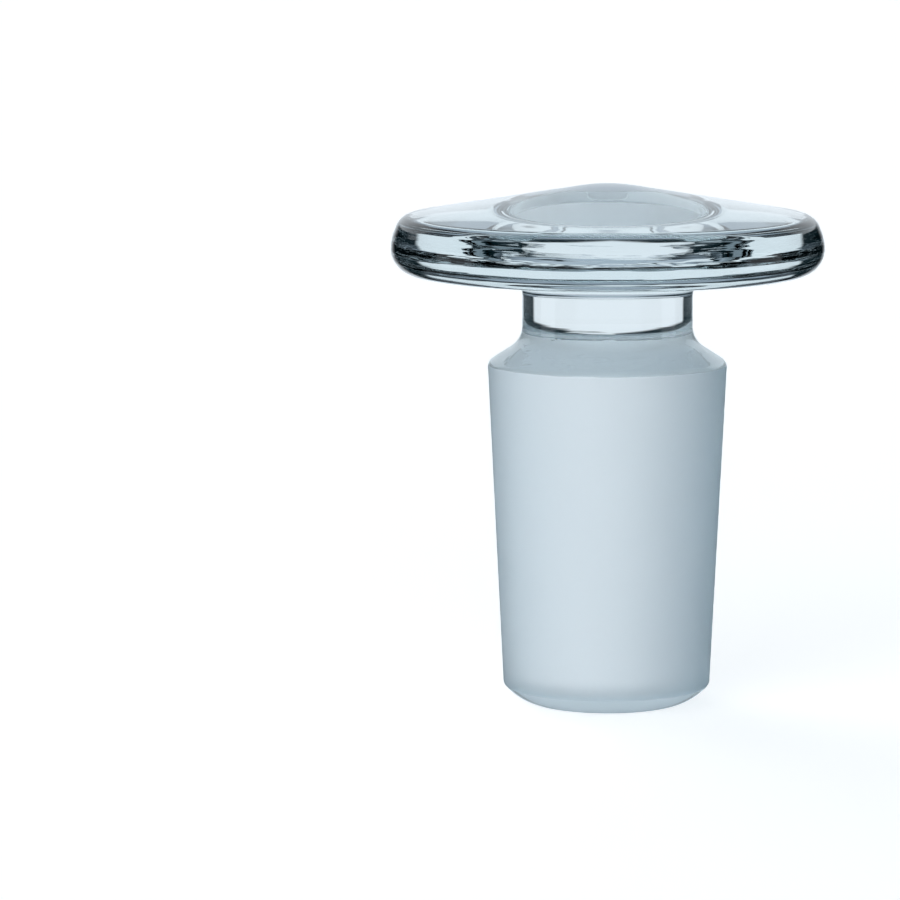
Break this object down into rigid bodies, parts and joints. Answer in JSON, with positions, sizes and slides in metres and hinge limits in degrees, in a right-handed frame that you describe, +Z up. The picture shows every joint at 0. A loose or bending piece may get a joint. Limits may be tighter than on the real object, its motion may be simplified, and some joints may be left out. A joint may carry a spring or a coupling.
{
  "type": "glass stopper",
  "caption": "Solid clear glass stopper with a round flat head and crowned top, a short neck to grip, and a frosted ground cone that seals a tapered glass socket.",
  "frame": {"origin": "centre of the flat at the small end, on which the stopper stands", "axes": "+Z up the axis, from the small end to the head; X and Y are alike, because the stopper is round"},
  "size_m": [0.034, 0.034, 0.0412],
  "materials": {
    "glass": "clear and fire-polished on the head, neck, shoulder and small end; ground to an even frost on the cone"
  },
  "bodies": {
    "root": {"stopper": "glass"}
  },
  "joints": []
}
